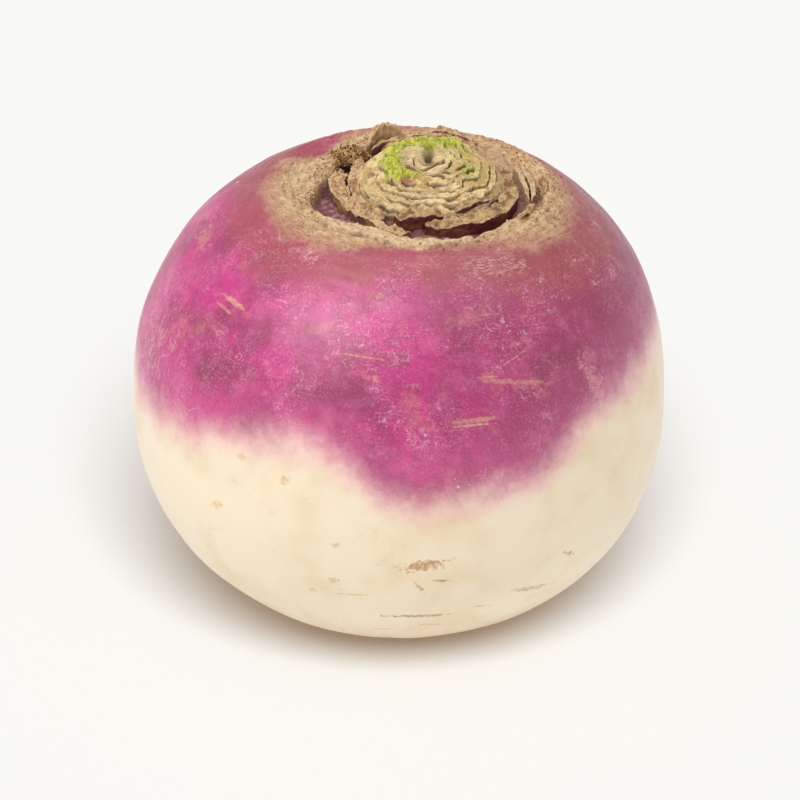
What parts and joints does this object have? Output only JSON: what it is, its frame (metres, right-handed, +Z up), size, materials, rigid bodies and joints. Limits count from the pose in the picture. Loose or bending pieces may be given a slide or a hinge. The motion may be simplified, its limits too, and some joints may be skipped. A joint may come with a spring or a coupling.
{
  "type": "turnip",
  "caption": "Purple-top turnip, a squat round root with a corky collar and a sunken crown of cut leaf bases, standing on a small flat spot.",
  "frame": {"origin": "centre of the small flat spot that the root rests on", "axes": "+Z up through the crown, -Y to the front, +X to the right-hand side, towards which the crown is set"},
  "size_m": [0.09, 0.09, 0.0819],
  "materials": {
    "root_skin": "waxy turnip skin, magenta-purple above, cream below, with a tan corky collar, scuffs and pale scars",
    "dry_leaf": "dry, fibrous, papery leaf base, tan to brown",
    "pale_leaf": "pale leaf base with a pink flush, matt",
    "purple_leaf": "dark purple outer face and tan cut edge, satin",
    "cream_leaf": "fresh cream leaf tissue with green and brown mottling, satin",
    "green_heart": "fresh yellow-green crimped young leaf, satin"
  },
  "bodies": {
    "root": {"root": "root_skin", "outer_base_left": "dry_leaf", "outer_base_right": "dry_leaf", "outer_base_side": "pale_leaf", "side_sliver": "dry_leaf", "torn_scrap": "dry_leaf", "back_ridge": "dry_leaf", "middle_base_left": "dry_leaf", "middle_base_front": "purple_leaf", "middle_base_right": "purple_leaf", "middle_base_side": "dry_leaf", "middle_base_back": "dry_leaf", "inner_base_left": "pale_leaf", "inner_base_side": "pale_leaf", "inner_base_back": "pale_leaf", "whorl_leaf_front": "cream_leaf", "whorl_leaf_left": "cream_leaf", "whorl_leaf_side": "cream_leaf", "whorl_leaf_back": "cream_leaf", "heart_leaf_left": "green_heart", "heart_leaf_right": "cream_leaf", "heart_leaf_back": "green_heart", "dry_leaf_flap": "dry_leaf", "fibre_tuft": "dry_leaf", "heart_bud": "green_heart"}
  },
  "joints": []
}
